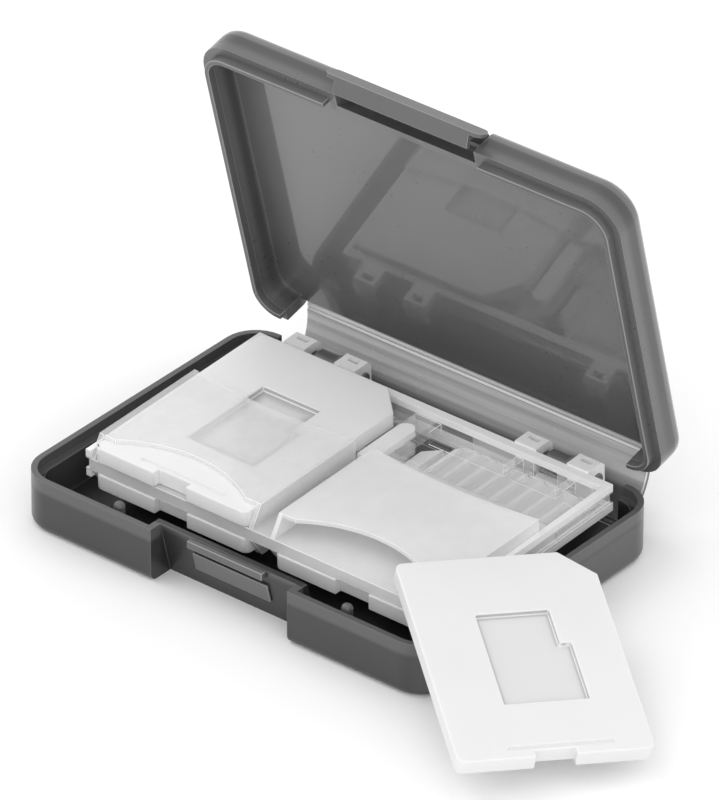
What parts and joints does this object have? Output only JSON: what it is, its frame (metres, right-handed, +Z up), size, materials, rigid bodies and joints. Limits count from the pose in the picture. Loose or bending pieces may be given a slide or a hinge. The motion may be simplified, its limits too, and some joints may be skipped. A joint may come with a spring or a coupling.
{
  "type": "memory card case",
  "caption": "Folding smoke-grey pocket case with a clip-in two-sided clear tray of card pockets and flat white card carriers, lid open.",
  "frame": {"origin": "centre of the base's flat underside", "axes": "+X to the right seen from the front, +Y to the hinge side, +Z up from the table"},
  "size_m": [0.0932, 0.0631, 0.0551],
  "materials": {
    "smoke_shell": "satin",
    "clear_tray": "gloss",
    "carrier": "matt"
  },
  "bodies": {
    "base": {"base_shell": "smoke_shell", "catch_bar": "smoke_shell", "front_posts": "smoke_shell", "base_hinge_web": "smoke_shell"},
    "spine": {"spine_panel": "smoke_shell", "bracket_left": "smoke_shell", "bracket_right": "smoke_shell"},
    "tray_rods": {"rod_left": "smoke_shell", "rod_right": "smoke_shell"},
    "tray": {"tray_frame": "clear_tray", "tray_clips": "clear_tray", "pocket_upper_left": "clear_tray", "pocket_upper_right": "clear_tray", "pocket_lower_left": "clear_tray", "pocket_lower_right": "clear_tray"},
    "lid": {"lid_shell": "smoke_shell", "lid_lip": "smoke_shell", "lid_hinge_web": "smoke_shell", "latch_hinge_web": "smoke_shell"},
    "latch": {"latch_flap": "smoke_shell"},
    "carrier_upper_left": {"carrier_upper_left": "carrier"},
    "carrier_lower_left": {"carrier_lower_left": "carrier"},
    "carrier_lower_right": {"carrier_lower_right": "carrier"},
    "carrier_loose": {"carrier_loose": "carrier"}
  },
  "joints": [
    {"name": "spine_fold", "type": "hinge", "parent": "base", "child": "spine", "pos_m": [0, 0.0223, 0.0007], "axis": [1, 0, 0], "range_deg": [-21, 27.3]},
    {"name": "rod_level", "type": "hinge", "parent": "spine", "child": "tray_rods", "pos_m": [0, 0.01999, 0.00796], "axis": [1, 0, 0], "range_deg": [-27.3, 21]},
    {"name": "tray_swing", "type": "hinge", "parent": "tray_rods", "child": "tray", "pos_m": [0, 0.01999, 0.00796], "axis": [1, 0, 0], "range_deg": [-60, 0]},
    {"name": "lid_fold", "type": "hinge", "parent": "spine", "child": "lid", "pos_m": [0, 0.02707, 0.00994], "axis": [1, 0, 0], "range_deg": [-41.8, 48.2]},
    {"name": "latch_fold", "type": "hinge", "parent": "lid", "child": "latch", "pos_m": [0, 0.01675, 0.05065], "axis": [1, 0, 0], "range_deg": [-50, 27]},
    {"name": "upper_left_slide", "type": "slide", "parent": "tray", "child": "carrier_upper_left", "axis": [0, 0.9995, 0.0314], "range_m": [-0.02, 0]},
    {"name": "lower_left_slide", "type": "slide", "parent": "tray", "child": "carrier_lower_left", "axis": [0, 0.9995, 0.0314], "range_m": [-0.003, 0]},
    {"name": "lower_right_slide", "type": "slide", "parent": "tray", "child": "carrier_lower_right", "axis": [0, 0.9995, 0.0314], "range_m": [-0.003, 0]},
    {"name": "loose_lift", "type": "slide", "parent": "tray", "child": "carrier_loose", "axis": [0, 0, 1], "range_m": [0, 0.04]}
  ],
  "couplings": [
    {"joint": "rod_level", "follows": "spine_fold", "ratio": -1}
  ]
}
